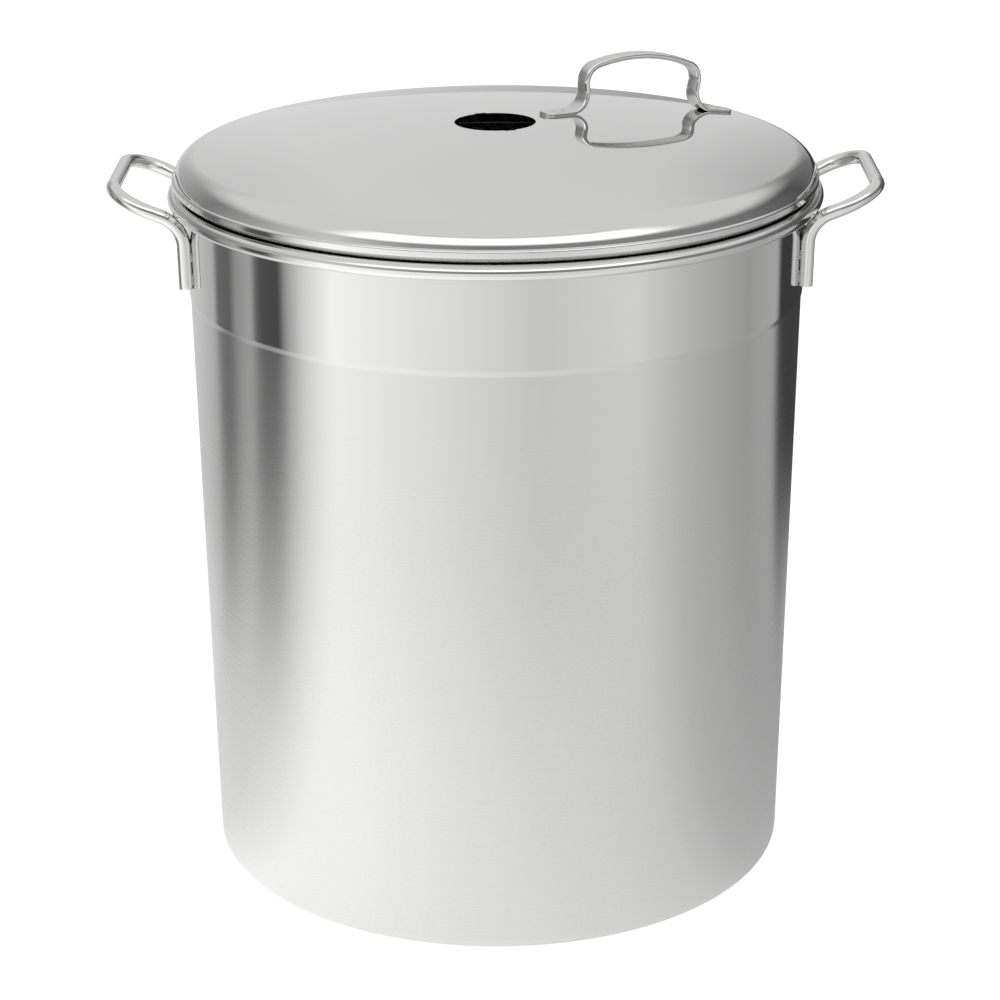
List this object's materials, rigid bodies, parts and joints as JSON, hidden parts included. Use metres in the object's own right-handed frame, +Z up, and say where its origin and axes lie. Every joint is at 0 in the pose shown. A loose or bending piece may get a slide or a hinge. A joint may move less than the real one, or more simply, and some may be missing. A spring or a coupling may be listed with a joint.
{
  "type": "brew kettle",
  "caption": "Tall stainless brew kettle with welded tube side handles and a loose domed lid that has a strap handle and a central port.",
  "frame": {"origin": "middle of the base, on the floor it stands on", "axes": "+Z up along the kettle's axis, side handles at +X and -X, front towards -Y"},
  "size_m": [0.5568, 0.476, 0.5953],
  "materials": {
    "kettle_steel": "satin, brushed round the wall, polished band under the rim",
    "lid_steel": "satin",
    "handle_steel": "polished",
    "strap_steel": "satin face, polished edges",
    "weld_steel": "as welded"
  },
  "bodies": {
    "pot": {"kettle_body": "kettle_steel", "side_handle_left": "handle_steel", "side_handle_right": "handle_steel", "side_handle_left_welds": "weld_steel", "side_handle_right_welds": "weld_steel"},
    "lid_body": {"lid": "lid_steel", "lid_handle": "strap_steel", "lid_handle_welds": "weld_steel"}
  },
  "joints": [
    {"name": "lid_lift", "type": "slide", "parent": "pot", "child": "lid_body", "axis": [0, 0, 1], "range_m": [0, 0.25]}
  ]
}
